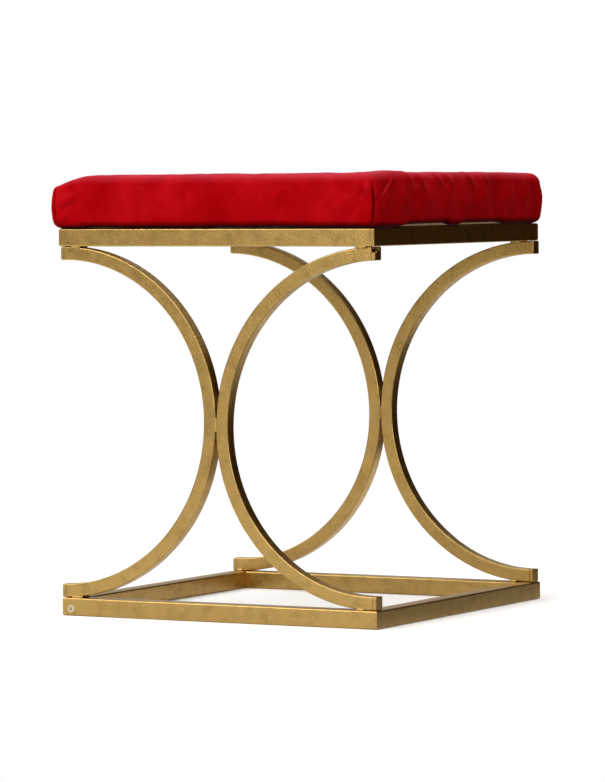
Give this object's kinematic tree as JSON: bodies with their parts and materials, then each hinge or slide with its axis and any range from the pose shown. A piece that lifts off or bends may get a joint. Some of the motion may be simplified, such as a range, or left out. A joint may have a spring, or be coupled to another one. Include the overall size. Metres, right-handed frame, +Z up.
{
  "type": "upholstered stool",
  "caption": "Low square stool: velvet box cushion on a welded steel frame with back-to-back bow legs between a top ring and a base ring.",
  "frame": {"origin": "centre of the base ring's outline on the floor, z = 0 under the base rails", "axes": "+X to the right along the front face, +Y from the front face to the rear face, +Z up"},
  "size_m": [0.412, 0.412, 0.4949],
  "materials": {
    "gold_paint": "satin gold paint",
    "velvet": "short pile velvet",
    "foam": "open-cell foam",
    "plywood": "unfinished",
    "dust_cloth": "matt spun-bonded cloth, undyed",
    "zinc_steel": "zinc plated",
    "pale_plug": "matt"
  },
  "bodies": {
    "root": {"base_front_rail": "gold_paint", "base_rear_rail": "gold_paint", "base_left_rail": "gold_paint", "base_right_rail": "gold_paint", "top_front_rail": "gold_paint", "top_rear_rail": "gold_paint", "top_left_rail": "gold_paint", "top_right_rail": "gold_paint", "front_left_bow": "gold_paint", "front_right_bow": "gold_paint", "rear_left_bow": "gold_paint", "rear_right_bow": "gold_paint", "front_left_bow_caps": "gold_paint", "front_right_bow_caps": "gold_paint", "rear_left_bow_caps": "gold_paint", "rear_right_bow_caps": "gold_paint", "top_weld_beads": "gold_paint", "base_weld_beads": "gold_paint", "waist_welds": "gold_paint", "seat_corner_tabs": "gold_paint", "base_hole_plug": "pale_plug", "seat_bolts": "zinc_steel", "seat_washers": "zinc_steel", "t_nuts": "zinc_steel", "cover_staples": "zinc_steel", "dust_cover_staples": "zinc_steel", "seat_board": "plywood", "foam_pad": "foam", "velvet_cover": "velvet", "dust_cover": "dust_cloth"}
  },
  "joints": []
}
